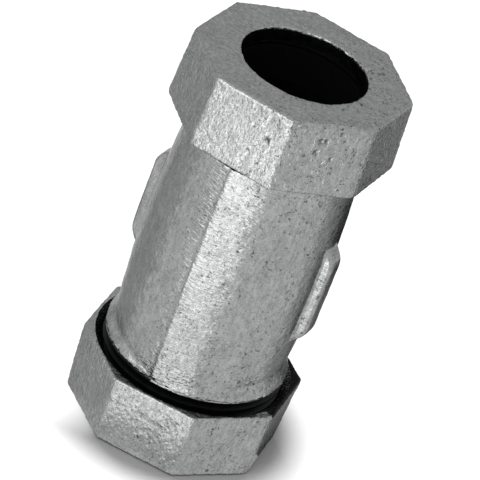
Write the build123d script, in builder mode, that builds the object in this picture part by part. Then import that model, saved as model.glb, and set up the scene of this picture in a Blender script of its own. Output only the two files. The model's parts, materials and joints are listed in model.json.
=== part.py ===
"""Long compression coupling for plain-ended steel pipe, cast in malleable iron and galvanised.

A barrel-shaped body with two wrench lugs is threaded at both ends. At each end an octagonal
nut pushes a flat steel ring against a tapered rubber gasket, which closes on the pipe.
The coupling stands on its bottom nut: the axis is +Z and the origin is the centre of that
nut's pipe-end face. The lugs stand on +X and -X, and the casting seam runs along -Y and +Y.
All sizes are in millimetres and degrees.
"""
from build123d import *

import math
import os

# Pipe that the coupling joins: 3/4 inch steel pipe, 26.7 mm outside
pipe_radius = 13.35

# Radial room that each piece leaves around the pipe
nut_hole_room = 0.35
ring_hole_room = 0.55
gasket_bore_room = 0.25
passage_room = 0.95

# Gasket seats, bored as tapers into the ends of the body
seat_taper = 3.0
seat_depth = 6.5
seat_rim = 2.55

# Cast body
body_length = 78.1
barrel_wall = 6.15
barrel_crown = 1.45
seam_offset = 1.8
thread_chamfer = 0.8
collar_step = 0.65
collar_width = 1.0
collar_flare = 2.6
collar_gap = 1.1

# Wrench lugs, on the middle of the barrel
lug_height = 2.6
lug_length = 19.5
lug_end_run = 3.2
lug_width = 5.2
lug_corner_radius = 1.6
lug_edge_radius = 1.0
lug_foot_radius = 1.0

# Octagonal nuts, drafted so that they are widest at the mouth
nut_height = 16.8
nut_wall = 2.05
nut_end_wall = 3.4
nut_draft = 3.1
nut_sides = 8
nut_corner_radius = 1.0
nut_end_rounding = 0.7
nut_mouth_land = 0.7
nut_hole_rounding = 0.5
thread_clearance = 0.3

# Steel retainer rings, loose in the nuts
ring_thickness = 1.2
ring_side_room = 0.95
ring_edge_chamfer = 0.3

# Rubber gaskets: a heel behind a cone that fits its seat
gasket_heel = 2.1
gasket_seat_room = 0.3
gasket_nose_setback = 0.5
gasket_edge_chamfer = 0.3

# How the coupling stands: the top nut is hand-tight, the bottom nut is backed off a little
thread_pitch = 2.309
bottom_turns_open = 0.5
top_nut_turn = -0.3
bottom_nut_turn = 7.6

# Radii, built outwards from the pipe
nut_hole_radius = pipe_radius + nut_hole_room
ring_hole_radius = pipe_radius + ring_hole_room
gasket_bore_radius = pipe_radius + gasket_bore_room
passage_radius = pipe_radius + passage_room
seat_mouth_radius = passage_radius + seat_taper
thread_radius = seat_mouth_radius + seat_rim
collar_radius = thread_radius + collar_step
barrel_radius = passage_radius + barrel_wall
neck_radius = barrel_radius - barrel_crown
lug_reach = barrel_radius + lug_height
lug_root = (passage_radius + neck_radius) / 2
lug_shoulder = barrel_radius - barrel_crown / 2
nut_thread_radius = thread_radius + thread_clearance
nut_end_apothem = nut_thread_radius + nut_wall
ring_radius = nut_thread_radius - ring_side_room

# Heights, from the bottom nut's end face upwards
end_stack = nut_end_wall + ring_thickness + gasket_heel
thread_length = nut_height - end_stack + collar_gap
body_bottom = end_stack + bottom_turns_open * thread_pitch
body_top = body_bottom + body_length
body_middle = (body_bottom + body_top) / 2
overall_height = body_top + end_stack

# Planes of the pipe ends, each facing into the coupling
bottom_end = Plane.XY
top_end = Plane(origin=(0, 0, overall_height), x_dir=(1, 0, 0), z_dir=(0, 0, -1))

# Each end plane with the depth at which the body starts below it
body_ends = ((bottom_end, body_bottom), (top_end, end_stack))


def section_plane(end, depth=0.0):
    """Plane through the axis: x is the radius, y is the depth below an end plane moved inwards."""
    origin = end.origin + end.z_dir * depth
    return Plane(origin=origin, x_dir=end.x_dir, z_dir=end.x_dir.cross(end.z_dir))


def axis_of(end):
    """The coupling's axis, pointing into it from one end."""
    return Axis(end.origin, end.z_dir)


def barrel_axis(side):
    """Axis of one mould half's round, set across the seam so that the two rounds meet in a crease."""
    return Axis((-side * seam_offset, 0, 0), (0, 0, 1))


def barrel_profile(side):
    """Half section of the crowned barrel, as one mould half forms it."""
    low = body_bottom + thread_length
    high = body_top - thread_length
    neck = neck_radius + seam_offset
    middle = barrel_radius + seam_offset
    half_plane = Plane(origin=(-side * seam_offset, 0, 0), x_dir=(1, 0, 0), z_dir=(0, -1, 0))
    with BuildSketch(half_plane) as profile:
        with BuildLine():
            ThreePointArc((neck, low), (middle, body_middle), (neck, high))
            Polyline((neck, high), (0, high), (0, low), (neck, low))
        make_face()
    return profile.sketch


def threaded_end_profile(end, depth):
    """Half section of a threaded end with its lead-in chamfer, and of the collar beside the barrel."""
    rim = thread_length + collar_width
    flare_foot = (neck_radius - collar_step, rim + collar_flare)
    with BuildSketch(section_plane(end, depth)) as profile:
        with BuildLine():
            Polyline(
                (0, 0),
                (thread_radius - thread_chamfer, 0),
                (thread_radius, thread_chamfer),
                (thread_radius, thread_length),
                (collar_radius, thread_length),
                (collar_radius, rim),
            )
            TangentArc((collar_radius, rim), flare_foot, tangent=(-1, 0))
            Polyline(flare_foot, (0, rim + collar_flare), (0, 0))
        make_face()
    return profile.sketch


def seat_profile(end, depth):
    """Half section of the conical seat, from the body's end face to the pipe passage."""
    with BuildSketch(section_plane(end, depth)) as profile:
        with BuildLine():
            Polyline((0, 0), (seat_mouth_radius, 0), (passage_radius, seat_depth), (0, seat_depth), close=True)
        make_face()
    return profile.sketch


# Wrench lug on +X: a bar with sloped ends, rooted inside the barrel's wall
with BuildPart() as lug:
    with BuildSketch(Plane.XZ) as lug_outline:
        with BuildLine():
            Polyline(
                (lug_root, body_middle - lug_length / 2 - lug_end_run),
                (lug_shoulder, body_middle - lug_length / 2 - lug_end_run),
                (lug_reach, body_middle - lug_length / 2),
                (lug_reach, body_middle + lug_length / 2),
                (lug_shoulder, body_middle + lug_length / 2 + lug_end_run),
                (lug_root, body_middle + lug_length / 2 + lug_end_run),
                close=True,
            )
        make_face()
        fillet(lug_outline.vertices().group_by(Axis.X)[-1], lug_corner_radius)
    extrude(amount=lug_width / 2, both=True)
    fillet(lug.edges().filter_by(Axis.Z).group_by(Axis.X)[-1], lug_edge_radius)

# Coupling body
with BuildPart() as coupling_body:
    revolve(barrel_profile(1), axis=barrel_axis(1))
    revolve(barrel_profile(-1), axis=barrel_axis(-1), mode=Mode.INTERSECT)
    barrel = coupling_body.part
    lugs = [lug.part, mirror(lug.part, about=Plane.YZ, mode=Mode.PRIVATE)]
    add(lugs)
    fillet(new_edges(barrel, *lugs, combined=coupling_body.part), lug_foot_radius)
    for end, depth in body_ends:
        revolve(threaded_end_profile(end, depth), axis=axis_of(end))
    with Locations((0, 0, body_middle)):
        Cylinder(passage_radius, body_length, mode=Mode.SUBTRACT)
    for end, depth in body_ends:
        revolve(seat_profile(end, depth), axis=axis_of(end), mode=Mode.SUBTRACT)


def octagonal_nut(end, turn):
    """Nut whose end wall, with the pipe hole, lies on an end plane and whose mouth faces the body."""
    mouth_apothem = nut_end_apothem + nut_height * math.tan(math.radians(nut_draft))
    mouth_radius = mouth_apothem - nut_mouth_land
    mouth_chamfer = mouth_radius - nut_thread_radius
    flat_turn = 180 / nut_sides + turn * end.z_dir.Z
    with BuildPart() as nut:
        with BuildSketch(end) as outline:
            RegularPolygon(nut_end_apothem, nut_sides, major_radius=False, rotation=flat_turn)
            fillet(outline.vertices(), nut_corner_radius)
        extrude(amount=nut_height, taper=-nut_draft)
        end_face = nut.faces().filter_by(Axis.Z).sort_by(axis_of(end))[0]
        fillet(end_face.edges(), nut_end_rounding)
        with BuildSketch(section_plane(end)) as hollow:
            with BuildLine():
                rim_start = (nut_hole_radius + nut_hole_rounding, 0)
                rim_end = (nut_hole_radius, nut_hole_rounding)
                TangentArc(rim_start, rim_end, tangent=(-1, 0))
                Polyline(
                    rim_end,
                    (nut_hole_radius, nut_end_wall),
                    (nut_thread_radius, nut_end_wall),
                    (nut_thread_radius, nut_height - mouth_chamfer),
                    (mouth_radius, nut_height),
                    (0, nut_height),
                    (0, 0),
                    rim_start,
                )
            make_face()
        revolve(hollow.sketch, axis=axis_of(end), mode=Mode.SUBTRACT)
    return nut.part


def retainer_ring(end):
    """Flat ring that lies on the inside of a nut's end wall."""
    with BuildPart() as ring:
        with BuildSketch(section_plane(end, nut_end_wall)) as section:
            with Locations(((ring_hole_radius + ring_radius) / 2, ring_thickness / 2)):
                Rectangle(ring_radius - ring_hole_radius, ring_thickness)
            chamfer(section.vertices(), ring_edge_chamfer)
        revolve(axis=axis_of(end))
    return ring.part


def gasket(end):
    """Rubber ring with a flat heel on the retainer ring and a cone that enters the seat."""
    heel_radius = seat_mouth_radius - gasket_seat_room
    cone_length = seat_depth - gasket_nose_setback
    nose_radius = heel_radius - seat_taper * cone_length / seat_depth
    with BuildPart() as rubber:
        with BuildSketch(section_plane(end, nut_end_wall + ring_thickness)) as section:
            with BuildLine():
                Polyline(
                    (gasket_bore_radius, 0),
                    (heel_radius, 0),
                    (heel_radius, gasket_heel),
                    (nose_radius, gasket_heel + cone_length),
                    (gasket_bore_radius, gasket_heel + cone_length),
                    close=True,
                )
            make_face()
            chamfer(section.vertices().sort_by(Axis.X)[-2:], gasket_edge_chamfer)
        revolve(axis=axis_of(end))
    return rubber.part


pieces = {
    "coupling_body": coupling_body.part,
    "top_nut": octagonal_nut(top_end, top_nut_turn),
    "bottom_nut": octagonal_nut(bottom_end, bottom_nut_turn),
    "top_retainer_ring": retainer_ring(top_end),
    "bottom_retainer_ring": retainer_ring(bottom_end),
    "top_gasket": gasket(top_end),
    "bottom_gasket": gasket(bottom_end),
}

os.makedirs("parts", exist_ok=True)
for name, piece in pieces.items():
    piece.label = name
    export_step(piece, f"parts/{name}.step")
print(f"overall height {overall_height:.2f} mm, body from {body_bottom:.2f} to {body_top:.2f} mm")
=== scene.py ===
# %% [markdown]
# # A long compression coupling, cast in malleable iron and galvanised
#
# A coupling like this joins two plain-ended steel pipes. Its body is a rough casting with a thread
# at each end, and on each thread an octagonal nut presses a steel ring and a rubber gasket onto the
# pipe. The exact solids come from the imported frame. This lesson gives them their looks: soft cast
# edges, a grainy zinc skin, cut threads and the small flaws of a sand casting.

# %% Load the frame
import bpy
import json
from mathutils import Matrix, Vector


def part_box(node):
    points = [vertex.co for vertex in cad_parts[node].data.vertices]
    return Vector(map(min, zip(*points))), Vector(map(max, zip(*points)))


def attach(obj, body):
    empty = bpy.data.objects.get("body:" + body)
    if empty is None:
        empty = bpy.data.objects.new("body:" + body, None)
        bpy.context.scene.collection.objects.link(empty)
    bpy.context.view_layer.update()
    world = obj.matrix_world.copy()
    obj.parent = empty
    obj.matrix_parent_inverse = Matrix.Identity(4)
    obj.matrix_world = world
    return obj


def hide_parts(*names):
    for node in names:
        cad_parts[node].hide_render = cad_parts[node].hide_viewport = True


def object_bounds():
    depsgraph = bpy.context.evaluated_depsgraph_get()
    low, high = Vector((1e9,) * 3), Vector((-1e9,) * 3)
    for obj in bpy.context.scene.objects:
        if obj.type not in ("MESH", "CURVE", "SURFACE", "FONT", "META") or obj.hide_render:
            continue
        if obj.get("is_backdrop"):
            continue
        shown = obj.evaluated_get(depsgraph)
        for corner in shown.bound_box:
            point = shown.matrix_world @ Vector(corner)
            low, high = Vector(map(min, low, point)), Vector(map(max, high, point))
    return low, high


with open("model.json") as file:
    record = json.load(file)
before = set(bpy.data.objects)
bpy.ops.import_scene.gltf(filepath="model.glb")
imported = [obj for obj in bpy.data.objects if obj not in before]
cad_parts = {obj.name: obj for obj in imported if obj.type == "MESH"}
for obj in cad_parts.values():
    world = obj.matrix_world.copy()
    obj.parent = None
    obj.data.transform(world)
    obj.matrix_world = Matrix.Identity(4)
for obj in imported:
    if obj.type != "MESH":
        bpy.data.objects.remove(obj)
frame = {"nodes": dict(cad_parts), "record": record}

cad_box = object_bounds()
print("nodes:", sorted(frame["nodes"]))

# %% [markdown]
# ## Working by hand, in code
#
# Blender's operators act on whatever is selected, so every step first selects one object and nothing
# else. In edit mode, vertices, edges and faces are picked by where they are. Sizes are written in
# millimetres and turned into metres, which is the frame's unit. Meshes could also be typed in as lists of
# points, but operators show the steps that a maker would take by hand.

# %% Selecting and finishing
import json
import math

import bmesh
import bpy
from mathutils import Matrix, Vector

MM = 0.001
TINY = 1e-6


def only(*pieces):
    """Selects these objects and nothing else, with the last one active."""
    bpy.ops.object.select_all(action="DESELECT")
    for piece in pieces:
        piece.select_set(True)
    bpy.context.view_layer.objects.active = pieces[-1]


def edit(piece):
    """Opens one object in edit mode."""
    only(piece)
    bpy.ops.object.mode_set(mode="EDIT")


def leave_edit():
    """Goes back to object mode."""
    bpy.ops.object.mode_set(mode="OBJECT")


def pick(kind, test):
    """In edit mode, selects the elements of one kind whose corner points pass a test."""
    bpy.ops.mesh.select_mode(type=kind)
    bpy.ops.mesh.select_all(action="DESELECT")
    shape = bmesh.from_edit_mesh(bpy.context.object.data)
    elements = {"VERT": shape.verts, "EDGE": shape.edges, "FACE": shape.faces}[kind]
    for element in elements:
        corners = [element] if kind == "VERT" else element.verts
        if test([corner.co for corner in corners]):
            element.select_set(True)
    shape.select_flush_mode()
    bmesh.update_edit_mesh(bpy.context.object.data)


def apply_modifier(piece, kind, **settings):
    """Adds a modifier, gives it its settings and applies it to the mesh."""
    only(piece)
    modifier = piece.modifiers.new(kind.title(), kind)
    for name, value in settings.items():
        setattr(modifier, name, value)
    bpy.ops.object.modifier_apply(modifier=modifier.name)


def settle(piece, name):
    """Names a new primitive and moves its place, turn and scale into its mesh."""
    only(piece)
    piece.name = name
    bpy.ops.object.transform_apply(location=True, rotation=True, scale=True)
    return piece


def combine(piece, tool, operation):
    """Joins a closed tool to a closed piece, cuts it out of it or keeps what they share."""
    apply_modifier(piece, "BOOLEAN", operation=operation, object=tool, solver="MANIFOLD")
    bpy.data.objects.remove(tool)


def join(*pieces):
    """Makes several objects one, under the last one's name."""
    only(*pieces)
    bpy.ops.object.join()
    return bpy.context.object


def report(piece):
    """Prints how large a mesh is and whether it is closed."""
    shape = bmesh.new()
    shape.from_mesh(piece.data)
    open_edges = sum(not edge.is_manifold for edge in shape.edges)
    triangles = sum(len(face.verts) - 2 for face in shape.faces)
    shape.free()
    points = [vertex.co for vertex in piece.data.vertices]
    sizes = [(max(p[i] for p in points) - min(p[i] for p in points)) / MM for i in range(3)]
    print(f"{piece.name}: {triangles} triangles, {open_edges} open edges, "
          f"{sizes[0]:.2f} x {sizes[1]:.2f} x {sizes[2]:.2f} mm")


bpy.ops.object.select_all(action="DESELECT")
print("nothing is selected:", not bpy.context.selected_objects)

# %% [markdown]
# ## The threads
#
# The body's threads are cut with a die and the nuts' with a tap. A thread is one V-shaped ridge wound
# round the axis. It could be drawn as a bump in the material, but where the nut stands off the collar
# the ridges show in profile, so they are real geometry: the ridge's outline is extruded point by point,
# wound up by a Screw modifier, and cut flat at both ends. Every thread follows the same helix, so the
# nuts' grooves lie over the body's ridges, and they still do after the nuts have turned.

# %% A threaded rod
pitch = 2 * math.pi * frame["record"]["behaviour"]["couplings"][0]["ratio"]
thread_depth = 1.3 * MM
flank_angle = math.radians(27.5)
thread_steps = 96


def threaded_rod(name, crest, low, high):
    """A closed right-hand threaded rod between two heights."""
    flank = thread_depth * math.tan(flank_angle)
    land = pitch / 2 - flank
    start = (math.floor(low / pitch) - 1) * pitch
    turns = math.ceil((high - start) / pitch) + 1
    bpy.ops.mesh.primitive_plane_add(size=1 * MM, location=(crest - thread_depth, 0, start))
    rod = settle(bpy.context.object, name)
    edit(rod)
    bpy.ops.mesh.select_mode(type="VERT")
    bpy.ops.mesh.select_all(action="SELECT")
    bpy.ops.mesh.merge(type="CENTER")
    outline = ((thread_depth, flank), (0, land), (-thread_depth, flank), (0, land))
    for outwards, upwards in outline:
        bpy.ops.mesh.extrude_region_move(TRANSFORM_OT_translate={"value": (outwards, 0, upwards)})
    leave_edit()
    apply_modifier(
        rod, "SCREW", angle=2 * math.pi, screw_offset=pitch, iterations=turns, steps=thread_steps,
        render_steps=thread_steps, use_smooth_shade=False,
    )
    edit(rod)
    bpy.ops.mesh.select_all(action="SELECT")
    bpy.ops.mesh.remove_doubles(threshold=TINY)
    bpy.ops.mesh.bisect(plane_co=(0, 0, low), plane_no=(0, 0, 1), use_fill=True, clear_inner=True)
    bpy.ops.mesh.select_all(action="SELECT")
    bpy.ops.mesh.bisect(plane_co=(0, 0, high), plane_no=(0, 0, 1), use_fill=True, clear_outer=True)
    bpy.ops.mesh.select_all(action="SELECT")
    bpy.ops.mesh.normals_make_consistent(inside=False)
    leave_edit()
    return rod


print(f"thread pitch {pitch / MM:.3f} mm, {thread_depth / MM:.2f} mm deep")

# %% [markdown]
# ## The body casting
#
# The body is poured in a mould of two halves, which meet along the front and the back. Each half is a
# little flatter than half a round, so the halves meet in a crease, and one half has slipped sideways
# by a hair, which leaves a fine step beside the crease. A lathed outline would give a perfect round with
# no crease, so the barrel is modelled as the mould makes it: a cylinder is crowned ring by ring,
# bisected off-centre, and copied to the other side.

# %% Two barrel halves
body_low, body_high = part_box("coupling_body")
body_bottom, body_top = body_low[2], body_high[2]
body_middle = (body_bottom + body_top) / 2
thread_length = 11.2 * MM
barrel_bottom = body_bottom + thread_length
barrel_top = body_top - thread_length
barrel_radius = 20.45 * MM
barrel_crown = 1.45 * MM
seam_offset = 1.8 * MM
seam_overlap = 0.15 * MM
mould_slip = 0.36 * MM
round_steps = 160
crown_rings = 24

half_length = (barrel_top - barrel_bottom) / 2
bpy.ops.mesh.primitive_cylinder_add(
    vertices=round_steps, radius=barrel_radius + seam_offset, depth=2 * half_length,
    location=(0, 0, body_middle),
)
barrel = settle(bpy.context.object, "coupling_body_casting")
edit(barrel)
pick("EDGE", lambda ends: abs(ends[0].z - ends[1].z) > half_length)
bpy.ops.mesh.subdivide(number_cuts=crown_rings - 1)
for ring in range(crown_rings + 1):
    height = barrel_bottom + 2 * half_length * ring / crown_rings
    pick("VERT", lambda at: abs(at[0].z - height) < half_length / crown_rings / 2)
    sunk = barrel_crown * ((height - body_middle) / half_length) ** 2
    size = 1 - sunk / (barrel_radius + seam_offset)
    bpy.ops.transform.resize(value=(size, size, 1), center_override=(0, 0, height))
bpy.ops.mesh.select_all(action="SELECT")
bpy.ops.mesh.bisect(
    plane_co=(seam_offset - seam_overlap, 0, 0), plane_no=(1, 0, 0), use_fill=True, clear_inner=True
)
bpy.ops.mesh.select_all(action="SELECT")
bpy.ops.transform.translate(value=(-seam_offset, 0, 0))
leave_edit()

bpy.ops.object.duplicate()
left_half = bpy.context.object
edit(left_half)
bpy.ops.mesh.select_all(action="SELECT")
bpy.ops.transform.resize(value=(-1, 1, 1), center_override=(0, 0, 0))
bpy.ops.mesh.normals_make_consistent(inside=False)
bpy.ops.transform.translate(value=(0, mould_slip / 2, 0))
leave_edit()
edit(barrel)
bpy.ops.mesh.select_all(action="SELECT")
bpy.ops.transform.translate(value=(0, -mould_slip / 2, 0))
leave_edit()
report(barrel)

# %% [markdown]
# ## Wrench lugs
#
# Two lugs give a wrench a hold on the body while the nuts are turned. A lug could be a profile pushed
# through its width, but its outer face is shorter than its foot, so it starts as a cube whose outer face
# is extruded, shortened and bevelled. It is made once and copied to the other side. On this casting the
# right lug sits a little lower and less proud than the left one, so it is shifted after the copy.

# %% Lugs
lug_root = 17.0 * MM
lug_shoulder = barrel_radius - barrel_crown / 2
lug_reach = barrel_radius + 2.6 * MM
lug_length = 19.5 * MM
lug_end_run = 3.2 * MM
lug_width = 5.2 * MM
lug_end_bevel = 1.8 * MM
lug_edge_bevel = 1.0 * MM
lug_sink = 0.4 * MM
lug_drop = 1.2 * MM

lug_foot_length = lug_length + 2 * lug_end_run
bpy.ops.mesh.primitive_cube_add(
    size=1, location=((lug_root + lug_shoulder) / 2, 0, body_middle),
    scale=(lug_shoulder - lug_root, lug_width, lug_foot_length),
)
lug = settle(bpy.context.object, "wrench_lug")
edit(lug)
pick("FACE", lambda corners: all(corner.x > lug_shoulder - TINY for corner in corners))
bpy.ops.mesh.extrude_region_move(TRANSFORM_OT_translate={"value": (lug_reach - lug_shoulder, 0, 0)})
shorter = lug_length / lug_foot_length
bpy.ops.transform.resize(value=(1, 1, shorter), center_override=(lug_reach, 0, body_middle))
pick("EDGE", lambda ends: all(end.x > lug_reach - TINY for end in ends) and ends[0].z == ends[1].z)
bpy.ops.mesh.bevel(offset=lug_end_bevel, segments=5)
pick("EDGE", lambda ends: all(end.x > lug_shoulder + TINY for end in ends) and ends[0].y == ends[1].y)
bpy.ops.mesh.bevel(offset=lug_edge_bevel, segments=4)
leave_edit()
only(lug)
bpy.ops.object.duplicate()
left_lug = bpy.context.object
edit(left_lug)
bpy.ops.mesh.select_all(action="SELECT")
bpy.ops.transform.resize(value=(-1, 1, 1), center_override=(0, 0, 0))
bpy.ops.mesh.normals_make_consistent(inside=False)
leave_edit()
edit(lug)
bpy.ops.mesh.select_all(action="SELECT")
bpy.ops.transform.translate(value=(-lug_sink, 0, -lug_drop))
leave_edit()
report(lug)

# %% [markdown]
# ## Collars
#
# A narrow collar closes the barrel at each thread: a sharp rim that flares back into the round. It could
# be lathed from an outline. Here a thin disc is extruded face by face and each new ring is scaled, because
# that shows how a flare is built up. The lower collar is wide and stands proud, and the upper one is
# slim, because the top nut comes close to it.

# %% Collars
bottom_collar_radius = 20.8 * MM
bottom_collar_width = 0.4 * MM
top_collar_radius = 20.1 * MM
top_collar_width = 0.5 * MM
# Each step of a flare is a rise and the radius that it reaches
wide_flare = ((1.3 * MM, 20.35 * MM), (0.7 * MM, 19.9 * MM), (2.2 * MM, 19.2 * MM))
slim_flare = ((0.8 * MM, 19.3 * MM), (1.0 * MM, 18.9 * MM))


def flared_collar(rim, inwards, radius, width, flare):
    """A rim of some radius and width whose flare runs out inside the barrel."""
    bpy.ops.mesh.primitive_cylinder_add(
        vertices=round_steps, radius=radius, depth=width, location=(0, 0, rim + inwards * width / 2)
    )
    collar = settle(bpy.context.object, "collar")
    edit(collar)
    height = rim + inwards * width
    pick("FACE", lambda corners: all(abs(corner.z - height) < TINY for corner in corners))
    for rise, next_radius in flare:
        bpy.ops.mesh.extrude_region_move(TRANSFORM_OT_translate={"value": (0, 0, inwards * rise)})
        height += inwards * rise
        size = next_radius / radius
        bpy.ops.transform.resize(value=(size, size, 1), center_override=(0, 0, height))
        radius = next_radius
    leave_edit()
    return collar


bottom_collar = flared_collar(barrel_bottom, 1, bottom_collar_radius, bottom_collar_width, wide_flare)
top_collar = flared_collar(barrel_top, -1, top_collar_radius, top_collar_width, slim_flare)
body = join(left_half, lug, left_lug, bottom_collar, top_collar, barrel)
report(body)

# %% [markdown]
# ## The cast skin
#
# Molten iron doesn't fill a sharp corner, and damp sand leaves its grain on the skin. A voxel remesh
# melts the joined pieces into one even mesh, a Smooth modifier rounds every edge and foot, and Displace
# modifiers with cloud textures press the grain in. The grain could be left to the material, but then
# the outline would stay too clean. The modifiers push mostly inwards, so the casting stays inside its
# true size.

# %% Remesh, soften and press the grain
grain_level = 0.7
smooth_factor = 0.5
body_voxel = 0.36 * MM
body_softening = 4
# Each grain is a width and a depth
body_grains = ((6.0 * MM, 0.16 * MM), (2.2 * MM, 0.10 * MM), (1.0 * MM, 0.08 * MM))


def cast_skin(piece, voxel, softening, grains):
    """Turns joined closed shapes into one soft-edged casting with sand grain pressed into it."""
    apply_modifier(piece, "REMESH", mode="VOXEL", voxel_size=voxel)
    apply_modifier(piece, "SMOOTH", factor=smooth_factor, iterations=softening)
    for size, depth in grains:
        clouds = bpy.data.textures.new(f"sand_{size / MM:.1f}mm", "CLOUDS")
        clouds.noise_scale = size
        clouds.noise_depth = 1
        apply_modifier(piece, "DISPLACE", texture=clouds, strength=depth, mid_level=grain_level)


cast_skin(body, body_voxel, body_softening, body_grains)
report(body)

# %% [markdown]
# ## The collar's ragged rim
#
# Iron has run a little past the mould at the lower collar, so its rim is ragged, with a notch where the
# two halves of the mould meet. The rim could be pulled about point by point. A Displace modifier that is
# held to a vertex group does it evenly, and only the notch is pressed in by hand, with proportional
# editing: one point is moved and its neighbours follow softly.

# %% Ragged rim
rim_depth = 0.6 * MM
ragged_size = 1.4 * MM
ragged_depth = 0.4 * MM
ragged_level = 0.6
notch_radius = 20.7 * MM
notch_reach = 1.0 * MM
notch_move = Vector((0, 0.7 * MM, 0.6 * MM))


def press(piece, marks):
    """Pulls or pushes soft spots: each mark is a point, a move and the radius that follows it."""
    edit(piece)
    for spot, move, radius in marks:
        shape = bmesh.from_edit_mesh(piece.data)
        nearest = min((vertex.co - spot).length for vertex in shape.verts) + TINY
        pick("VERT", lambda at: (at[0] - spot).length < nearest)
        bpy.ops.transform.translate(
            value=move, use_proportional_edit=True, proportional_edit_falloff="SMOOTH",
            proportional_size=radius,
        )
    leave_edit()


rim = body.vertex_groups.new(name="rim")
rim.add([v.index for v in body.data.vertices if v.co.z < barrel_bottom + rim_depth], 1.0, "REPLACE")
ragged = bpy.data.textures.new("ragged_rim", "CLOUDS")
ragged.noise_scale = ragged_size
apply_modifier(
    body, "DISPLACE", texture=ragged, vertex_group="rim", direction="NORMAL", strength=ragged_depth,
    mid_level=ragged_level,
)
body.vertex_groups.clear()
seam_notch = Vector((0, -notch_radius, barrel_bottom))
press(body, [(seam_notch, notch_move, notch_reach)])
report(body)

# %% [markdown]
# ## Machining the body
#
# After casting, both ends are threaded and the inside is bored: a straight passage for the pipes and a
# tapered seat for each gasket. They could be modelled before the skin, but the remesh would melt them,
# and cut faces are crisp, so they come after it, as Boolean steps. A thread's first ridge is chamfered by
# keeping only what lies inside a bevelled cylinder.

# %% Threads and bore of the body
body_crest = 20.5 * MM
lead_chamfer = 1.3 * MM
thread_root_overlap = 0.5 * MM
passage_radius = 14.3 * MM
seat_taper = 3.0 * MM
seat_depth = 6.5 * MM
tool_excess = 1.0 * MM

for low, high, tip in (
    (body_bottom, barrel_bottom + thread_root_overlap, body_bottom),
    (barrel_top - thread_root_overlap, body_top, body_top),
):
    rod = threaded_rod("body_thread", body_crest, low, high)
    bpy.ops.mesh.primitive_cylinder_add(
        vertices=round_steps, radius=body_crest + TINY, depth=high - low + 2 * TINY,
        location=(0, 0, (low + high) / 2),
    )
    blank = settle(bpy.context.object, "thread_blank")
    edit(blank)
    pick("EDGE", lambda ends: all(abs(end.z - tip) < 2 * TINY for end in ends))
    bpy.ops.mesh.bevel(offset=lead_chamfer, segments=1)
    leave_edit()
    combine(rod, blank, "INTERSECT")
    combine(body, rod, "UNION")

bpy.ops.mesh.primitive_cylinder_add(
    vertices=round_steps, radius=passage_radius, depth=body_top - body_bottom - 2 * seat_depth,
    location=(0, 0, body_middle),
)
bore = settle(bpy.context.object, "bore_tool")
edit(bore)
seat_growth = seat_taper * (seat_depth + tool_excess) / seat_depth
for end, outwards in ((body_bottom + seat_depth, -1), (body_top - seat_depth, 1)):
    pick("FACE", lambda corners: all(abs(corner.z - end) < TINY for corner in corners))
    out = outwards * (seat_depth + tool_excess)
    bpy.ops.mesh.extrude_region_move(TRANSFORM_OT_translate={"value": (0, 0, out)})
    widen = 1 + seat_growth / passage_radius
    bpy.ops.transform.resize(value=(widen, widen, 1), center_override=(0, 0, end + out))
leave_edit()
combine(body, bore, "DIFFERENCE")
report(body)

# %% [markdown]
# ## The octagonal nuts
#
# Each nut is a casting too, drafted so that it leaves the sand easily: it is widest at its open mouth.
# An eight-sided cylinder could be scaled at one end, but a cone with eight sides gives the draft at
# once. Bevels round its corners and its closed end, one corner more than the others, and the pipe hole
# goes through before the skin is made, because it is cast and not drilled.

# %% Nut blank
nut_height = 16.8 * MM
nut_sides = 8
nut_end_apothem = 22.2 * MM
nut_draft = math.radians(3.1)
nut_corner_bevel = 0.5 * MM
soft_corner_bevel = 1.5 * MM
soft_corner = math.radians(67.5)
nut_end_bevel = 0.65 * MM
top_mouth_bevel = 0.5 * MM
bottom_mouth_bevel = 0.35 * MM
pipe_hole_radius = frame["record"]["mounts"][1]["dims"]["r_mm"] * MM

nut_mouth_apothem = nut_end_apothem + nut_height * math.tan(nut_draft)
corner_reach = 1 / math.cos(math.pi / nut_sides)


def upright(ends):
    """Whether an edge of a nut runs from its end to its mouth."""
    return abs(ends[0].z - ends[1].z) > nut_height / 2


def nut_blank(name, end, mouth, turn, mouth_bevel):
    """The drafted octagon with its pipe hole, between its end face and its mouth."""
    radii = {end: nut_end_apothem * corner_reach, mouth: nut_mouth_apothem * corner_reach}
    low, high = sorted((end, mouth))
    bpy.ops.mesh.primitive_cone_add(
        vertices=nut_sides, radius1=radii[low], radius2=radii[high], depth=nut_height,
        location=(0, 0, (low + high) / 2),
    )
    nut = settle(bpy.context.object, name)
    corner = nut.data.vertices[0].co
    flat_first = math.pi / nut_sides - math.atan2(corner.y, corner.x)
    only(nut)
    nut.rotation_euler.z = flat_first + turn
    settle(nut, name)
    edit(nut)
    softest = Vector((math.sin(soft_corner + turn), -math.cos(soft_corner + turn), 0)) * nut_end_apothem
    near = nut_end_apothem / 4
    pick("EDGE", lambda ends: upright(ends) and (ends[0] - softest).xy.length < near)
    bpy.ops.mesh.bevel(offset=soft_corner_bevel, segments=4)
    pick("EDGE", lambda ends: upright(ends) and (ends[0] - softest).xy.length > near)
    bpy.ops.mesh.bevel(offset=nut_corner_bevel, segments=3)
    pick("EDGE", lambda ends: all(abs(at.z - end) < TINY for at in ends))
    bpy.ops.mesh.bevel(offset=nut_end_bevel, segments=3)
    pick("EDGE", lambda ends: all(abs(at.z - mouth) < TINY for at in ends))
    bpy.ops.mesh.bevel(offset=mouth_bevel, segments=2)
    leave_edit()
    bpy.ops.mesh.primitive_cylinder_add(
        vertices=round_steps, radius=pipe_hole_radius, depth=3 * nut_height,
        location=(0, 0, (low + high) / 2),
    )
    combine(nut, settle(bpy.context.object, "pipe_hole_tool"), "DIFFERENCE")
    report(nut)
    return nut


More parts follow.
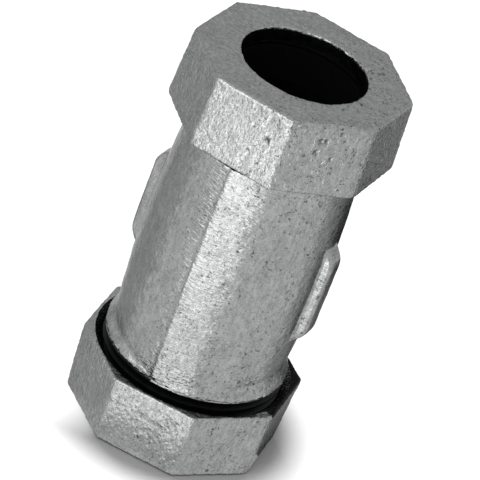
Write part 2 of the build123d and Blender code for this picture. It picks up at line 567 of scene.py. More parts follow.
top_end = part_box("top_nut")[1][2]
bottom_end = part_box("bottom_nut")[0][2]
top_turn = math.radians(-0.3)
bottom_turn = math.radians(7.6)
top_mouth = top_end - nut_height
bottom_mouth = bottom_end + nut_height
top_nut = nut_blank("top_nut_casting", top_end, top_mouth, top_turn, top_mouth_bevel)
bottom_nut = nut_blank("bottom_nut_casting", bottom_end, bottom_mouth, bottom_turn, bottom_mouth_bevel)

# %% [markdown]
# ## Flaws of the castings
#
# Loose sand and gas leave small pits, pimples and shallow grooves on a casting. A random texture would
# scatter them anywhere, so each is listed: a spot, how far the skin moves there and how wide the
# mark is. The same soft pushing that made the notch then presses them in.

# %% Flaws of the castings


def side_mark(azimuth, along, height, push, radius):
    """A spot on a nut's side, in millimetres: how far along the side, how high, how far out, how wide."""
    outwards = Vector((math.sin(azimuth), -math.cos(azimuth), 0))
    sideways = Vector((math.cos(azimuth), math.sin(azimuth), 0))
    spot = outwards * nut_end_apothem + sideways * along * MM + Vector((0, 0, height * MM))
    return spot, outwards * push * MM, radius * MM


def top_mark(azimuth, distance, push, radius):
    """A spot on the top nut's end face, in millimetres: distance from the axis, how far up, how wide."""
    outwards = Vector((math.sin(azimuth), -math.cos(azimuth), 0))
    return outwards * distance * MM + Vector((0, 0, top_end)), Vector((0, 0, push * MM)), radius * MM


front, right_front, behind = (top_turn + math.radians(side) for side in (0, 45, 225))
top_flaws = [
    side_mark(front, 5.3, 85.8, -0.55, 1.2),
    side_mark(front, 6.3, 85.6, 0.30, 0.9),
    side_mark(right_front, -7.6, 92.0, 0.40, 1.1),
    side_mark(right_front, -2.4, 89.6, 0.22, 0.9),
    side_mark(right_front, -1.2, 89.5, 0.22, 0.9),
    side_mark(right_front, -1.8, 88.5, -0.40, 0.9),
    side_mark(right_front, -0.6, 88.6, -0.25, 0.8),
    side_mark(right_front, -3.0, 86.2, 0.35, 0.9),
    side_mark(right_front, -2.0, 85.8, -0.45, 0.9),
    side_mark(right_front, 0.2, 87.3, 0.22, 0.8),
    side_mark(right_front, 0.8, 84.0, 0.25, 0.8),
    side_mark(right_front, 1.6, 84.6, -0.35, 0.8),
    top_mark(math.radians(139), 14.4, -0.9, 0.7),
    top_mark(math.radians(140), 15.3, -0.5, 0.6),
    top_mark(math.radians(141), 16.0, -0.35, 0.6),
    top_mark(math.radians(107), 16.9, 0.10, 0.7),
    top_mark(math.radians(110), 18.2, 0.08, 0.6),
]
top_flaws += [
    side_mark(behind, along, 92.2, push, 0.9)
    for along, push in ((-7.8, 0.25), (-6.4, 0.4), (-4.2, 0.25), (-3.1, 0.35), (-0.2, 0.3), (2.9, 0.2))
]
# A shallow curved groove on the bottom nut's front, as a row of marks
groove_steps = [-2.6 + 0.4 * step for step in range(15)]
groove = [(along, 10.8 + 0.11 * abs(along - 1.2) ** 1.5) for along in groove_steps]
bottom_flaws = [side_mark(bottom_turn, along, height, -0.04, 0.8) for along, height in groove]
print(len(top_flaws), "flaws on the top nut,", len(bottom_flaws), "on the bottom nut")

# %% [markdown]
# ## Skin and hollow of the nuts
#
# The nuts get the same skin as the body, in finer grain, and then their flaws. The end face must stay a
# plane, because the coupling stands on it, so grain that stands proud is pressed flat. The thread is
# tapped and the mouth chamfered last: a threaded rod and a cone are cut out by Booleans, because a
# Boolean leaves the crisp edge that a tool leaves. Last, every point stores how much painted shade it
# gets in a hollow flaw, for the material to read.

# %% Skin and hollow of the nuts
nut_voxel = 0.30 * MM
nut_softening = 3
# Most painted shade that the middle of a hollow flaw gets
most_hollow_shade = 0.7
nut_grains = ((5.0 * MM, 0.14 * MM), (1.8 * MM, 0.18 * MM), (0.8 * MM, 0.18 * MM))
nut_end_wall = 3.4 * MM
nut_crest = 20.8 * MM
nut_thread_radius = 20.15 * MM
nut_mouth_land = 0.7 * MM
end_margin = 0.01 * MM


def flatten_end(nut, end, outwards):
    """Presses grain that stands proud of the end face back onto its plane."""
    limit = end - outwards * end_margin
    edit(nut)
    pick("VERT", lambda at: (at[0].z - limit) * outwards > 0)
    bpy.ops.transform.resize(value=(1, 1, 0), center_override=(0, 0, limit))
    leave_edit()


def hollow_nut(nut, end, mouth):
    """Cuts the tapped hollow and the mouth's chamfer into a cast nut."""
    inwards = 1 if mouth > end else -1
    floor_of_hollow = end + inwards * nut_end_wall
    outside = mouth + inwards * tool_excess
    rod = threaded_rod("nut_tap", nut_crest, *sorted((floor_of_hollow, outside)))
    mouth_radius = nut_mouth_apothem - nut_mouth_land
    chamfer = mouth_radius - nut_thread_radius
    inner, outer = mouth - inwards * chamfer, mouth + inwards * tool_excess
    radii = {inner: nut_thread_radius, outer: mouth_radius + tool_excess}
    low, high = sorted((inner, outer))
    bpy.ops.mesh.primitive_cone_add(
        vertices=round_steps, radius1=radii[low], radius2=radii[high], depth=high - low,
        location=(0, 0, (low + high) / 2),
    )
    chamfer_tool = settle(bpy.context.object, "mouth_chamfer_tool")
    combine(nut, rod, "DIFFERENCE")
    combine(nut, chamfer_tool, "DIFFERENCE")


def paint_hollow_shade(nut, flaws):
    """Stores on every point how much painted shade it gets: most in the middle of a hollow flaw."""
    hollows = [
        (spot, radius) for spot, move, radius in flaws
        if move.z < 0 or move.dot(spot.to_2d().to_3d()) < 0
    ]
    painted_shade = nut.data.attributes.new("painted_hollow_shade", "FLOAT", "POINT")
    for vertex in nut.data.vertices:
        nearest = max(1 - (vertex.co - spot).length / radius for spot, radius in hollows)
        painted_shade.data[vertex.index].value = most_hollow_shade * max(nearest, 0)


for nut, end, mouth, flaws in (
    (top_nut, top_end, top_mouth, top_flaws),
    (bottom_nut, bottom_end, bottom_mouth, bottom_flaws),
):
    cast_skin(nut, nut_voxel, nut_softening, nut_grains)
    press(nut, flaws)
    flatten_end(nut, end, 1 if end > mouth else -1)
    hollow_nut(nut, end, mouth)
    paint_hollow_shade(nut, flaws)
    report(nut)

# %% [markdown]
# ## Smooth shading
#
# The grain should shade softly, while the cut threads keep their edges. Smoothing everything would
# blur the threads, and smoothing nothing would show the mesh, so shading is smoothed only where
# neighbouring faces meet at a shallow angle.

# %% Shade by angle
crisp_angle = math.radians(35)
for piece in (body, top_nut, bottom_nut):
    only(piece)
    bpy.ops.object.shade_smooth_by_angle(angle=crisp_angle)
    print(piece.name, "shaded")

# %% [markdown]
# ## Materials
#
# A material is a tree of nodes. It could be wired by hand in the Shader Editor, but in code one small
# function can add any node, set it up and link its inputs. Colours are written as sRGB hex values, as a
# paint program shows them, and turned to the linear values that Blender's shaders use.

# %% Colours and nodes


def linear(code):
    """An sRGB hex colour as linear RGBA."""
    channels = [int(code[i:i + 2], 16) / 255 for i in (0, 2, 4)]
    return (*[c / 12.92 if c <= 0.04045 else ((c + 0.055) / 1.055) ** 2.4 for c in channels], 1.0)


def add_node(tree, kind, inputs, **settings):
    """Adds a node with its settings; an input is a value, or another node's output to link."""
    node = tree.nodes.new(kind)
    for name, value in settings.items():
        setattr(node, name, value)
    for name, value in inputs.items():
        if isinstance(value, bpy.types.NodeSocket):
            tree.links.new(value, node.inputs[name])
        else:
            node.inputs[name].default_value = value
    return node


def per_size(size):
    """The texture scale at which a pattern's features are about this large."""
    return 1 / size


def new_material(name):
    """An empty node material and its tree."""
    material = bpy.data.materials.new(name)
    material.use_nodes = True
    material.node_tree.nodes.clear()
    return material, material.node_tree


print("mid zinc grey is", [round(c, 3) for c in linear("9c9d9d")])

# %% [markdown]
# ## Galvanised cast iron
#
# The castings are dipped in molten zinc, which sets as a thin grey skin on the rough iron. To the eye it
# is a broken sheen: mottled grey with streaks where the zinc ran off, dark specks where it didn't take,
# and painted shade in the corners. A picture could be wrapped round the pieces, but noise in Object
# coordinates has no seams and stays sharp. The finish is built up in steps: first the grey.

# %% Grey of the zinc
zinc_dark, zinc_light = "7b7c7c", "a6a7a7"
run_width = 0.9 * MM
run_stretch = (1, 1, 0.4)
patch_width = 6.0 * MM
patch_share = 0.3
# Moulding sand is about 0.2 mm wide, which is under a pixel here, so its speckle is drawn coarser
speckle_width = 0.35 * MM


def zinc_runs(tree, place):
    """Streaks along the axis, where the molten zinc ran off."""
    along = add_node(tree, "ShaderNodeVectorMath", {0: place, 1: run_stretch}, operation="MULTIPLY")
    runs = add_node(tree, "ShaderNodeTexNoise", {
        "Vector": along.outputs["Vector"], "Scale": per_size(run_width), "Detail": 5.0, "Roughness": 0.7})
    return runs.outputs["Fac"]


def zinc_grey(tree, place, runs):
    """Mottled grey between two tones: streaks and speckle, with faint larger patches."""
    speckle = add_node(tree, "ShaderNodeTexNoise", {
        "Vector": place, "Scale": per_size(speckle_width), "Detail": 3.0, "Roughness": 0.7})
    patches = add_node(tree, "ShaderNodeTexNoise", {
        "Vector": place, "Scale": per_size(patch_width), "Detail": 3.0, "Roughness": 0.6})
    tone = add_node(tree, "ShaderNodeMath", {0: runs, 1: speckle.outputs["Fac"]}, operation="ADD")
    tone = add_node(tree, "ShaderNodeMath", {
        0: patches.outputs["Fac"], 1: patch_share, 2: tone.outputs["Value"]}, operation="MULTIPLY_ADD")
    level = add_node(tree, "ShaderNodeMapRange", {
        "Value": tone.outputs["Value"], "From Min": 0.9, "From Max": 1.4})
    grey = add_node(tree, "ShaderNodeMix", {
        "Factor": level.outputs["Result"], "A": linear(zinc_dark), "B": linear(zinc_light)},
        data_type="RGBA")
    return grey.outputs[2]


print("zinc from", zinc_dark, "to", zinc_light)

# %% [markdown]
# ## Dark specks
#
# Zinc doesn't take on burnt sand, so black specks are left in clusters, mostly on the right half. Voronoi
# cells would give round dots that look printed. Distorted noise that is cut off high gives ragged specks,
# and a second, wider noise gathers them into clusters.

# %% Dark specks
pit_dark = "3b3c3d"
# Real specks go down to 0.3 mm, which would be lost here, so they are drawn at 0.7 mm
speck_width = 0.7 * MM
cluster_width = 4.0 * MM
few_specks, many_specks = -8 * MM, 3 * MM


def specked(tree, place, across, colour):
    """Adds the dark specks to a colour, fewer of them towards the left."""
    specks = add_node(tree, "ShaderNodeTexNoise", {
        "Vector": place, "Scale": per_size(speck_width), "Detail": 3.0, "Roughness": 0.6, "Distortion": 0.6})
    speck_shape = add_node(tree, "ShaderNodeMapRange", {
        "Value": specks.outputs["Fac"], "From Min": 0.57, "From Max": 0.66, "To Max": 0.9})
    clusters = add_node(tree, "ShaderNodeTexNoise", {
        "Vector": place, "Scale": per_size(cluster_width), "Detail": 2.0})
    cluster_level = add_node(tree, "ShaderNodeMapRange", {
        "Value": clusters.outputs["Fac"], "From Min": 0.36, "From Max": 0.52})
    side_level = add_node(tree, "ShaderNodeMapRange", {
        "Value": across, "From Min": few_specks, "From Max": many_specks, "To Min": 0.3, "To Max": 1.0})
    mask = add_node(tree, "ShaderNodeMath", {
        0: cluster_level.outputs["Result"], 1: side_level.outputs["Result"]}, operation="MULTIPLY")
    mask = add_node(tree, "ShaderNodeMath", {
        0: speck_shape.outputs["Result"], 1: mask.outputs["Value"]}, operation="MULTIPLY")
    mixed = add_node(tree, "ShaderNodeMix", {
        "Factor": mask.outputs["Value"], "A": colour, "B": linear(pit_dark)}, data_type="RGBA")
    return mixed.outputs[2]


print(f"specks {speck_width / MM:.1f} mm wide, in clusters of {cluster_width / MM:.0f} mm")

# %% [markdown]
# ## Painted shade in hollows
#
# Light reaches crevices and hollows less, and that shade is painted into the colour as a darker tone.
# It could be painted on by hand. Three masks find those places instead: ambient occlusion for crevices,
# Pointiness for sharp hollows, and the amount that every point of a nut has stored.

# %% Painted shade in hollows
# The dark tone that the painted shade mixes towards
painted_shade_dark = "1c1d1e"
painted_shade_reach = 1.6 * MM


def with_painted_shade(tree, colour):
    """Darkens a colour with painted shade where any of the three masks finds a hollow."""
    openness = add_node(tree, "ShaderNodeAmbientOcclusion", {"Distance": painted_shade_reach}, samples=8)
    crevices = add_node(tree, "ShaderNodeMapRange", {
        "Value": openness.outputs["AO"], "From Min": 0.6, "From Max": 0.2})
    curvature = add_node(tree, "ShaderNodeNewGeometry", {})
    hollows = add_node(tree, "ShaderNodeMapRange", {
        "Value": curvature.outputs["Pointiness"], "From Min": 0.46, "From Max": 0.40, "To Max": 0.7})
    mask = add_node(tree, "ShaderNodeMath", {
        0: crevices.outputs["Result"], 1: hollows.outputs["Result"]}, operation="MAXIMUM")
    # The painted shade that each nut stores on its points
    stored_shade = add_node(tree, "ShaderNodeAttribute", {}, attribute_name="painted_hollow_shade")
    mask = add_node(tree, "ShaderNodeMath", {
        0: stored_shade.outputs["Fac"], 1: mask.outputs["Value"]}, operation="MAXIMUM")
    mixed = add_node(tree, "ShaderNodeMix", {
        "Factor": mask.outputs["Value"], "A": colour, "B": linear(painted_shade_dark)}, data_type="RGBA")
    return mixed.outputs[2]


print(f"grime in crevices up to {painted_shade_reach / MM:.1f} mm wide")

# %% [markdown]
# ## Ripples and sheen
#
# The zinc sets in small ripples, and each one mirrors a different part of the room, which makes the
# metal glitter. They are too fine to model, so a Bump node tilts the light instead. It is faint on level
# faces, where the zinc lay still, and at the pipe hole's rim, which is smooth. On the body the
# ripples are strongest beside the crease and calmer to both sides of it.

# %% Galvanised iron
rim_smooth, rim_rough = 14.2 * MM, 15.5 * MM
band_middle = 3 * MM
band_strong, band_calm = 3 * MM, 7 * MM
# Old zinc is dull, so it mirrors less at a grazing angle than clean metal does
grazing_tint = (0.6, 0.6, 0.6, 1.0)


def ripple_strength(tree, coordinates, across, calm):
    """How strong the ripples are at a place; calm is what is left of them beside the band."""
    facing = add_node(tree, "ShaderNodeSeparateXYZ", {"Vector": coordinates["Normal"]})
    level_face = add_node(tree, "ShaderNodeMath", {0: facing.outputs["Z"]}, operation="ABSOLUTE")
    upright_level = add_node(tree, "ShaderNodeMapRange", {
        "Value": level_face.outputs["Value"], "From Min": 0.5, "From Max": 0.9, "To Min": 1.0,
        "To Max": 0.25})
    flat_place = add_node(tree, "ShaderNodeVectorMath", {
        0: coordinates["Object"], 1: (1, 1, 0)}, operation="MULTIPLY")
    from_axis = add_node(tree, "ShaderNodeVectorMath", {
        0: flat_place.outputs["Vector"]}, operation="LENGTH")
    rim_level = add_node(tree, "ShaderNodeMapRange", {
        "Value": from_axis.outputs["Value"], "From Min": rim_smooth, "From Max": rim_rough, "To Min": 0.1})
    off_band = add_node(tree, "ShaderNodeMath", {0: across, 1: band_middle}, operation="SUBTRACT")
    off_band = add_node(tree, "ShaderNodeMath", {0: off_band.outputs["Value"]}, operation="ABSOLUTE")
    band_level = add_node(tree, "ShaderNodeMapRange", {
        "Value": off_band.outputs["Value"], "From Min": band_strong, "From Max": band_calm, "To Min": 1.0,
        "To Max": calm})
    strength = add_node(tree, "ShaderNodeMath", {
        0: upright_level.outputs["Result"], 1: rim_level.outputs["Result"]}, operation="MULTIPLY")
    strength = add_node(tree, "ShaderNodeMath", {
        0: strength.outputs["Value"], 1: band_level.outputs["Result"]}, operation="MULTIPLY")
    return strength.outputs["Value"]


def galvanised_iron(name, ripple, ripple_height, calm, dullest, glossiest):
    """Hot-dipped zinc on cast iron; the ripple's widths along X, Y and Z and its height in millimetres."""
    material, tree = new_material(name)
    coordinates = add_node(tree, "ShaderNodeTexCoord", {}).outputs
    place = coordinates["Object"]
    across = add_node(tree, "ShaderNodeSeparateXYZ", {"Vector": place}).outputs["X"]
    runs = zinc_runs(tree, place)
    colour = with_painted_shade(tree, specked(tree, place, across, zinc_grey(tree, place, runs)))
    roughness = add_node(tree, "ShaderNodeMapRange", {
        "Value": runs, "From Min": 0.3, "From Max": 0.7, "To Min": dullest, "To Max": glossiest})
    stretched = add_node(tree, "ShaderNodeVectorMath", {
        0: place, 1: [per_size(size * MM) for size in ripple]}, operation="MULTIPLY")
    grain = add_node(tree, "ShaderNodeTexNoise", {
        "Vector": stretched.outputs["Vector"], "Scale": 1.0, "Detail": 1.5, "Roughness": 0.5,
        "Distortion": 0.4})
    relief = add_node(tree, "ShaderNodeBump", {
        "Height": grain.outputs["Fac"], "Strength": ripple_strength(tree, coordinates, across, calm),
        "Distance": ripple_height * MM})
    shader = add_node(tree, "ShaderNodeBsdfPrincipled", {
        "Base Color": colour, "Metallic": 1.0, "Roughness": roughness.outputs["Result"],
        "Specular Tint": grazing_tint, "Normal": relief.outputs["Normal"]})
    add_node(tree, "ShaderNodeOutputMaterial", {"Surface": shader.outputs["BSDF"]})
    return material


# The body's ripples run round it and are glossier; the nuts' stand upright and are as strong all over
body_iron = galvanised_iron("galvanised_cast_iron_rippled_round", (1.5, 1.5, 0.5), 0.23, 0.45, 0.28, 0.18)
nut_iron = galvanised_iron("galvanised_cast_iron_rippled_along", (0.5, 0.5, 0.9), 0.22, 1.0, 0.32, 0.22)
print(body_iron.name, nut_iron.name, len(nut_iron.node_tree.nodes), "nodes each")

# %% [markdown]
# ## Cut iron, painted dark as shade
#
# Threads, seats and the nuts' hollows are cut after galvanising, so there the iron is bare. They lie in
# deep shade, and that shade is painted into their colour: a nearly black metal with an uneven shine. One
# noise could drive the colour and another the shine; here one does both, so the darker spots are smoother.

# %% Cut iron, painted dark as shade
# Width of the patches in the cut faces' painted dark
dark_patch_width = 1.8 * MM


def hazed(name, width, dark, light):
    """A new material with noise of some width, and the colour that it mixes from two tones."""
    material, tree = new_material(name)
    place = add_node(tree, "ShaderNodeTexCoord", {}).outputs["Object"]
    haze = add_node(tree, "ShaderNodeTexNoise", {"Vector": place, "Scale": per_size(width), "Detail": 3.0})
    colour = add_node(tree, "ShaderNodeMix", {
        "Factor": haze.outputs["Fac"], "A": linear(dark), "B": linear(light)}, data_type="RGBA")
    return material, tree, haze.outputs["Fac"], colour.outputs[2]


def shaded_cut_iron():
    """Bare cut iron, painted nearly black as the shade it lies in, with an uneven shine."""
    material, tree, dark_patch, colour = hazed("cut_iron_painted_shade", dark_patch_width, "101111", "222324")
    roughness = add_node(tree, "ShaderNodeMapRange", {"Value": dark_patch, "To Min": 0.3, "To Max": 0.5})
    shader = add_node(tree, "ShaderNodeBsdfPrincipled", {
        "Base Color": colour, "Metallic": 1.0, "Roughness": roughness.outputs["Result"]})
    add_node(tree, "ShaderNodeOutputMaterial", {"Surface": shader.outputs["BSDF"]})
    return material


# Cut faces are painted nearly black as the shade they lie in
cut_iron_shade = shaded_cut_iron()
print(cut_iron_shade.name, len(cut_iron_shade.node_tree.nodes), "nodes")

# %% [markdown]
# ## Steel painted dark as shade, and rubber
#
# The rings are stamped from sheet steel and the gaskets are moulded from rubber. Both show only as a dark
# inside, through the pipe hole, and the rings' near black is painted shade. Plain black would do from far
# off, but close up a piece with no variation looks like a hole, so each gets a faint haze of noise.

# %% Steel painted dark as shade
# The steel's faint haze is drawn in patches of 1.5 mm
haze_width = 1.5 * MM
# Grazing reflections are dimmed too, as part of the painted shade
dark_grazing_tint = (0.1, 0.1, 0.1, 1.0)


def shade_dark_steel():
    """Stamped steel, painted nearly black as the shade inside the nut, with a dull sheen."""
    material, tree, haze, colour = hazed("steel_stamped_painted_shade_dark", haze_width, "0b0b0c", "191a1b")
    dullness = add_node(tree, "ShaderNodeMapRange", {"Value": haze, "To Min": 0.4, "To Max": 0.6})
    shader = add_node(tree, "ShaderNodeBsdfPrincipled", {
        "Base Color": colour, "Metallic": 1.0, "Roughness": dullness.outputs["Result"],
        "Specular Tint": dark_grazing_tint})
    add_node(tree, "ShaderNodeOutputMaterial", {"Surface": shader.outputs["BSDF"]})
    return material


steel = shade_dark_steel()
print(steel.name)

# %% Rubber
# The bloom on rubber is a fine dust, so it is drawn in patches of 1.2 mm
bloom_width = 1.2 * MM
bloom_height = 0.03 * MM


def gasket_rubber():
    """Moulded black rubber: matt, with a faint bloom."""
    material, tree, bloom, colour = hazed("nitrile_rubber_moulded", bloom_width, "040404", "090909")
    relief = add_node(tree, "ShaderNodeBump", {"Height": bloom, "Strength": 0.3, "Distance": bloom_height})
    shader = add_node(tree, "ShaderNodeBsdfPrincipled", {
        "Base Color": colour, "Roughness": 0.9, "Specular IOR Level": 0.03,
        "Normal": relief.outputs["Normal"]})
    add_node(tree, "ShaderNodeOutputMaterial", {"Surface": shader.outputs["BSDF"]})
    return material


rubber = gasket_rubber()
print(rubber.name)

# %% [markdown]
# ## Putting the pieces on the frame
#
# Each casting replaces its plain solid and moves with the same body. The rings and
# gaskets have their true shape already, so they stay and only get their material. A casting has two
# materials, zinc outside and cut iron inside. They could be two objects, but a casting is one piece, so
# its cut faces are picked by where they lie and given the second material slot.

# %% Ride, replace and paint
bore_reach = 17.6 * MM
tap_reach = 20.9 * MM
end_skin = 0.6 * MM
# Azimuths in degrees between which the bottom nut's mouth is painted dark as shade
shaded_mouth_from, shaded_mouth_to = 76, 150
shaded_mouth_depth = 0.5 * MM


def radius_of(point):
    """Distance from the coupling's axis."""
    return math.hypot(point.x, point.y)


def cut_in_body(corners):
    """Whether a face of the body lies in its bore or on its threads."""
    bored = all(radius_of(corner) < bore_reach for corner in corners)
    return bored or all(not barrel_bottom < corner.z < barrel_top for corner in corners)


def cut_in_nut(end):
    """The test for faces of a nut that lie in its hole or on its thread."""
    return lambda corners: all(radius_of(at) < tap_reach and abs(at.z - end) > end_skin for at in corners)


def shaded_mouth(corners):
    """Whether a face of the bottom nut is cut, or lies on the side of its mouth that is painted dark as
    shade.
    """
    sides = [math.degrees(math.atan2(at.x, -at.y)) for at in corners]
    within = all(shaded_mouth_from < side < shaded_mouth_to for side in sides)
    painted_dark = within and all(at.z > bottom_mouth - shaded_mouth_depth for at in corners)
    return painted_dark or cut_in_nut(bottom_end)(corners)


for piece, node, carrier, skin, is_cut in (
    (body, "coupling_body", "body", body_iron, cut_in_body),
    (top_nut, "top_nut", "top_nut", nut_iron, cut_in_nut(top_end)),
    (bottom_nut, "bottom_nut", "bottom_nut", nut_iron, shaded_mouth),
):
    piece.data.materials.clear()
    piece.data.materials.append(skin)
    piece.data.materials.append(cut_iron_shade)
    edit(piece)
    pick("FACE", is_cut)
    piece.active_material_index = 1
    bpy.ops.object.material_slot_assign()
    leave_edit()
    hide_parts(node)
    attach(piece, carrier)

for node, material in (
    ("top_retainer_ring", steel),
    ("bottom_retainer_ring", steel),
    ("top_gasket", rubber),
    ("bottom_gasket", rubber),
):
    for slot in frame["nodes"][node].material_slots:
        slot.material = material
print("castings and inner pieces are dressed")

# %% [markdown]
# ## Camera
#
# The camera stands where the photographer stood: far off with a long lens, looking down, and tilted so
# that the coupling leans to the right. It could be aimed by eye with a Track To constraint, but that
# can't hold a tilt, so its three directions are worked out from angles and written into its matrix.

# %% Long-lens camera
view_azimuth = math.radians(17.5)
view_elevation = math.radians(31.56)
view_roll = math.radians(21.37)
view_distance = 720.4 * MM
view_height = 47.41 * MM
view_sideways = 0.61 * MM
sensor_width = 36.0
lens = 254.0

right = Vector((math.cos(view_azimuth), math.sin(view_azimuth), 0))
back = Vector((
    math.sin(view_azimuth) * math.cos(view_elevation),
    -math.cos(view_azimuth) * math.cos(view_elevation),
    math.sin(view_elevation),
))
up = back.cross(right)
target = right * view_sideways + Vector((0, 0, view_height))
camera_right = right * math.cos(view_roll) + up * math.sin(view_roll)
camera_up = up * math.cos(view_roll) - right * math.sin(view_roll)
bpy.ops.object.camera_add()
camera = bpy.context.object
camera.name = "long_lens_camera"
camera.data.sensor_width = sensor_width
camera.data.lens = lens
camera.data.clip_start = 10 * MM
place = Matrix((camera_right, camera_up, back)).transposed().to_4x4()
place.translation = target + back * view_distance
camera.matrix_world = place
bpy.context.scene.camera = camera
print("camera at", [round(c, 3) for c in place.translation])

# %% [markdown]
# ## Room and floor
#
# The coupling stands on pale paper in a white room. The paper could be lit until it is white, but so
# much light would wash out the metal. So the paper glows by itself for the camera, and an ambient
# occlusion node takes the glow away near the coupling, which draws the soft contact shadow. On the lit
# side that shadow is lifted. The coupling stands on its bottom nut, so the floor rides with that nut's
# ring and stays under it when the nut is screwed off.

# %% Room
ambient = 0.8


def white_to_the_eye(tree):
    """1 for camera, glossy and transmitted rays, which see a white room; 0 for light that falls on things."""
    path = add_node(tree, "ShaderNodeLightPath", {})
    seen = add_node(tree, "ShaderNodeMath", {
        0: path.outputs["Is Camera Ray"], 1: path.outputs["Is Glossy Ray"]}, operation="MAXIMUM")
    seen = add_node(tree, "ShaderNodeMath", {
        0: seen.outputs["Value"], 1: path.outputs["Is Transmission Ray"]}, operation="MAXIMUM")
    return seen.outputs["Value"]


world = bpy.data.worlds.new("white_studio")
bpy.context.scene.world = world
world.use_nodes = True
world.node_tree.nodes.clear()
eye = white_to_the_eye(world.node_tree)
strength = add_node(world.node_tree, "ShaderNodeMapRange", {"Value": eye, "To Min": ambient, "To Max": 1.0})
sky = add_node(world.node_tree, "ShaderNodeBackground", {
    "Color": (1, 1, 1, 1), "Strength": strength.outputs["Result"]})
add_node(world.node_tree, "ShaderNodeOutputWorld", {"Surface": sky.outputs["Background"]})
print("room:", world.name)

# %% Floor
floor_size = 4000 * MM
paper_grey = "9d9d9d"
paper_glow = 0.85
mirrored_glow = 0.80
contact_reach = 13 * MM
lift_start, lift_full = 3 * MM, 14 * MM
lit_side = view_azimuth + math.radians(-115)

bpy.ops.mesh.primitive_plane_add(size=floor_size)
floor = settle(bpy.context.object, "pale_floor")
paper, tree = new_material("pale_floor_paper")
near = add_node(tree, "ShaderNodeAmbientOcclusion", {"Distance": contact_reach}, samples=16)
shade = add_node(tree, "ShaderNodeMapRange", {
    "Value": near.outputs["AO"], "From Min": 0.64, "From Max": 0.95, "To Min": 0.0, "To Max": paper_glow})
ground = add_node(tree, "ShaderNodeTexCoord", {}).outputs["Object"]
sideways = add_node(tree, "ShaderNodeVectorMath", {
    0: ground, 1: (math.sin(lit_side), -math.cos(lit_side), 0)}, operation="DOT_PRODUCT")
lift = add_node(tree, "ShaderNodeMapRange", {
    "Value": sideways.outputs["Value"], "From Min": lift_start, "From Max": lift_full, "To Max": paper_glow})
shade = add_node(tree, "ShaderNodeMath", {
    0: shade.outputs["Result"], 1: lift.outputs["Result"]}, operation="MAXIMUM")
path = add_node(tree, "ShaderNodeLightPath", {})
mirrored = add_node(tree, "ShaderNodeMath", {
    0: path.outputs["Is Glossy Ray"], 1: mirrored_glow}, operation="MULTIPLY")
glow = add_node(tree, "ShaderNodeMath", {
    0: path.outputs["Is Camera Ray"], 1: shade.outputs["Value"], 2: mirrored.outputs["Value"]},
    operation="MULTIPLY_ADD")
diffuse = add_node(tree, "ShaderNodeBsdfDiffuse", {"Color": linear(paper_grey)})
emission = add_node(tree, "ShaderNodeEmission", {"Strength": glow.outputs["Value"]})
both = add_node(tree, "ShaderNodeAddShader", {0: diffuse.outputs["BSDF"], 1: emission.outputs["Emission"]})
add_node(tree, "ShaderNodeOutputMaterial", {"Surface": both.outputs["Shader"]})
floor.data.materials.append(paper)
floor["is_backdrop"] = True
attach(floor, "bottom_ring")
print("floor", floor.dimensions[:])

# %% [markdown]
# ## Cards
#
# Metal looks like what it mirrors, so, as in a studio, bright cards lie in front to draw the long
# highlight beside the crease, and grey and dark ones lie where the sides should fall off. More lamps could
# do some of this, but a card is mirrored only by the faces that look at it, so each face can be set by
# itself. A wall mirrors the floor further out the higher it is, so the cards lie in rings round the
# coupling. They are seen only in reflections, and move with the floor.

# %% How a card is hung
card_lift = 0.2 * MM


def hang_card(card, name, near_edge, far_edge, near_glow, far_glow):
    """Gives a card its glow, from its near edge to its far one, and shows it to reflections only."""
    material, tree = new_material(name)
    place = add_node(tree, "ShaderNodeTexCoord", {}).outputs["Object"]
    distance = add_node(tree, "ShaderNodeVectorMath", {0: place}, operation="LENGTH")
    glow = add_node(tree, "ShaderNodeMapRange", {
        "Value": distance.outputs["Value"], "From Min": near_edge, "From Max": far_edge,
        "To Min": near_glow, "To Max": far_glow})
    emission = add_node(tree, "ShaderNodeEmission", {"Strength": glow.outputs["Result"]})
    add_node(tree, "ShaderNodeOutputMaterial", {"Surface": emission.outputs["Emission"]})
    card.data.materials.append(material)
    card.visible_camera = False
    card.visible_diffuse = False
    card.visible_shadow = False
    card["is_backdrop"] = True
    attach(card, "bottom_ring")


def floor_card(name, from_azimuth, to_azimuth, near_edge, far_edge, near_glow, far_glow):
    """A wedge on the floor, between two azimuths from the camera and two distances in millimetres."""
    near_edge, far_edge = near_edge * MM, far_edge * MM
    half_angle = math.radians(to_azimuth - from_azimuth) / 2
    middle = math.radians(from_azimuth + to_azimuth) / 2
    bpy.ops.mesh.primitive_plane_add(size=1, location=(0, 0, 0))
    card = bpy.context.object
    edit(card)
    bpy.ops.mesh.select_all(action="SELECT")
    bpy.ops.transform.resize(value=(2 * near_edge * math.tan(half_angle), far_edge - near_edge, 1))
    bpy.ops.transform.translate(value=(0, -(near_edge + far_edge) / 2, card_lift))
    pick("EDGE", lambda ends: all(end.y < -far_edge + TINY for end in ends))
    bpy.ops.transform.resize(value=(far_edge / near_edge, 1, 1), center_override=(0, -far_edge, 0))
    leave_edit()
    card.rotation_euler.z = view_azimuth + middle
    settle(card, name)
    hang_card(card, name, near_edge, far_edge, near_glow, far_glow)


def standing_card(name, azimuth, width, distance, low, high, glow):
    """An upright card that faces the coupling, at an azimuth from the camera, with sizes in millimetres."""
    bpy.ops.mesh.primitive_plane_add(size=1, location=(0, 0, 0), rotation=(math.radians(90), 0, 0))
    card = bpy.context.object
    card.scale = (width * MM, (high - low) * MM, 1)
    card.location = (0, -distance * MM, (low + high) / 2 * MM)
    settle(card, name)
    card.rotation_euler.z = view_azimuth + math.radians(azimuth)
    settle(card, name)
    hang_card(card, name, 0, distance * MM, glow, glow)


print("cards lie", card_lift / MM, "mm above the floor")

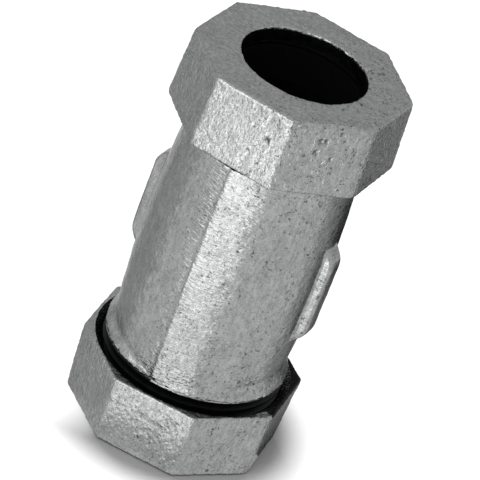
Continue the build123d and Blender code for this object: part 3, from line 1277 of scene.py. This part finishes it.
# %% Cards
floor_card("bright_card_toe", -36, 14, 24, 32, 0.8, 1.0)
floor_card("bright_card_foot", -36, 14, 32, 42, 1.0, 3.2)
floor_card("bright_card_heel", -36, 14, 42, 50, 3.2, 1.5)
floor_card("bright_card_near", -36, 14, 50, 100, 1.6, 1.8)
floor_card("bright_card", -36, 14, 100, 135, 1.8, 4.4)
floor_card("bright_card_far", -36, 14, 135, 220, 4.4, 1.6)
floor_card("bright_card_end", -36, 14, 220, 420, 1.6, 1.6)
floor_card("edge_card_near", 14, 22, 50, 100, 1.2, 1.3)
floor_card("edge_card", 14, 22, 100, 135, 1.3, 2.4)
standing_card("bright_card_front", -28, 600, 420, 0, 480, 3.2)
floor_card("soft_card", -74, -36, 40, 300, 1.08, 1.08)
floor_card("left_grey_card", -132, -82, 26, 300, 0.75, 0.75)
floor_card("left_foot_card", -100, -52, 23, 40, 0.85, 0.85)
floor_card("right_grey_card", 96, 122, 36, 300, 0.62, 0.62)
floor_card("right_dim_card", 122, 146, 36, 150, 0.28, 0.28)
floor_card("right_far_dim_card", 122, 146, 150, 300, 0.42, 0.42)
floor_card("right_toe_card", 78, 128, 20, 26, 0.04, 0.10)
floor_card("right_foot_card", 84, 128, 26, 38, 0.2, 0.4)
standing_card("right_low_dark_card", 147, 64, 86, 0, 30, 0.03)
standing_card("right_dark_card", 167, 34, 82, 0, 90, 0.03)
standing_card("left_back_grey_card", -122, 420, 300, 40, 400, 0.7)
standing_card("back_grey_card", 180, 900, 300, 60, 600, 0.8)

# %% [markdown]
# ## Key light
#
# One soft lamp stands high on the left of the camera and gives the paper's grey its gentle shadow. A sun
# would draw hard edges, so it is a wide disc. The cards already make the highlights, so the lamp isn't
# mirrored.

# %% Key light
key_size = 350 * MM
key_power = 2.0
key_azimuth = view_azimuth + math.radians(-25)
key_elevation = math.radians(50)
key_distance = 800 * MM

bpy.ops.object.light_add(type="AREA", location=(0, 0, 0))
key = bpy.context.object
key.name = "soft_key_light"
key.data.shape = "DISK"
key.data.size = key_size
key.data.energy = key_power
towards = Vector((
    math.sin(key_azimuth) * math.cos(key_elevation),
    -math.cos(key_azimuth) * math.cos(key_elevation),
    math.sin(key_elevation),
))
key.location = target + towards * key_distance
key.rotation_euler = towards.to_track_quat("Z", "Y").to_euler()
key.visible_camera = False
key.visible_glossy = False
print("key light at", [round(c, 3) for c in key.location])

# %% [markdown]
# ## Colour management
#
# A view transform turns the light that is worked out into the colours on the screen. Filmic ones soften
# bright parts, which would make the white room grey, so the plain Standard one is chosen.

# %% Colour management
bpy.context.scene.view_settings.view_transform = "Standard"
print("view transform:", bpy.context.scene.view_settings.view_transform)

# %% [markdown]
# ## Sizes
#
# The castings must not outgrow the solids that they stand for. That could be judged by eye, but numbers
# are surer, so both boxes are printed.

# %% Print the sizes
boxes = {"cad": cad_box, "visual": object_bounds()}
for name, (low, high) in boxes.items():
    print(name, "box", [round((b - a) / MM, 2) for a, b in zip(low, high)], "mm")
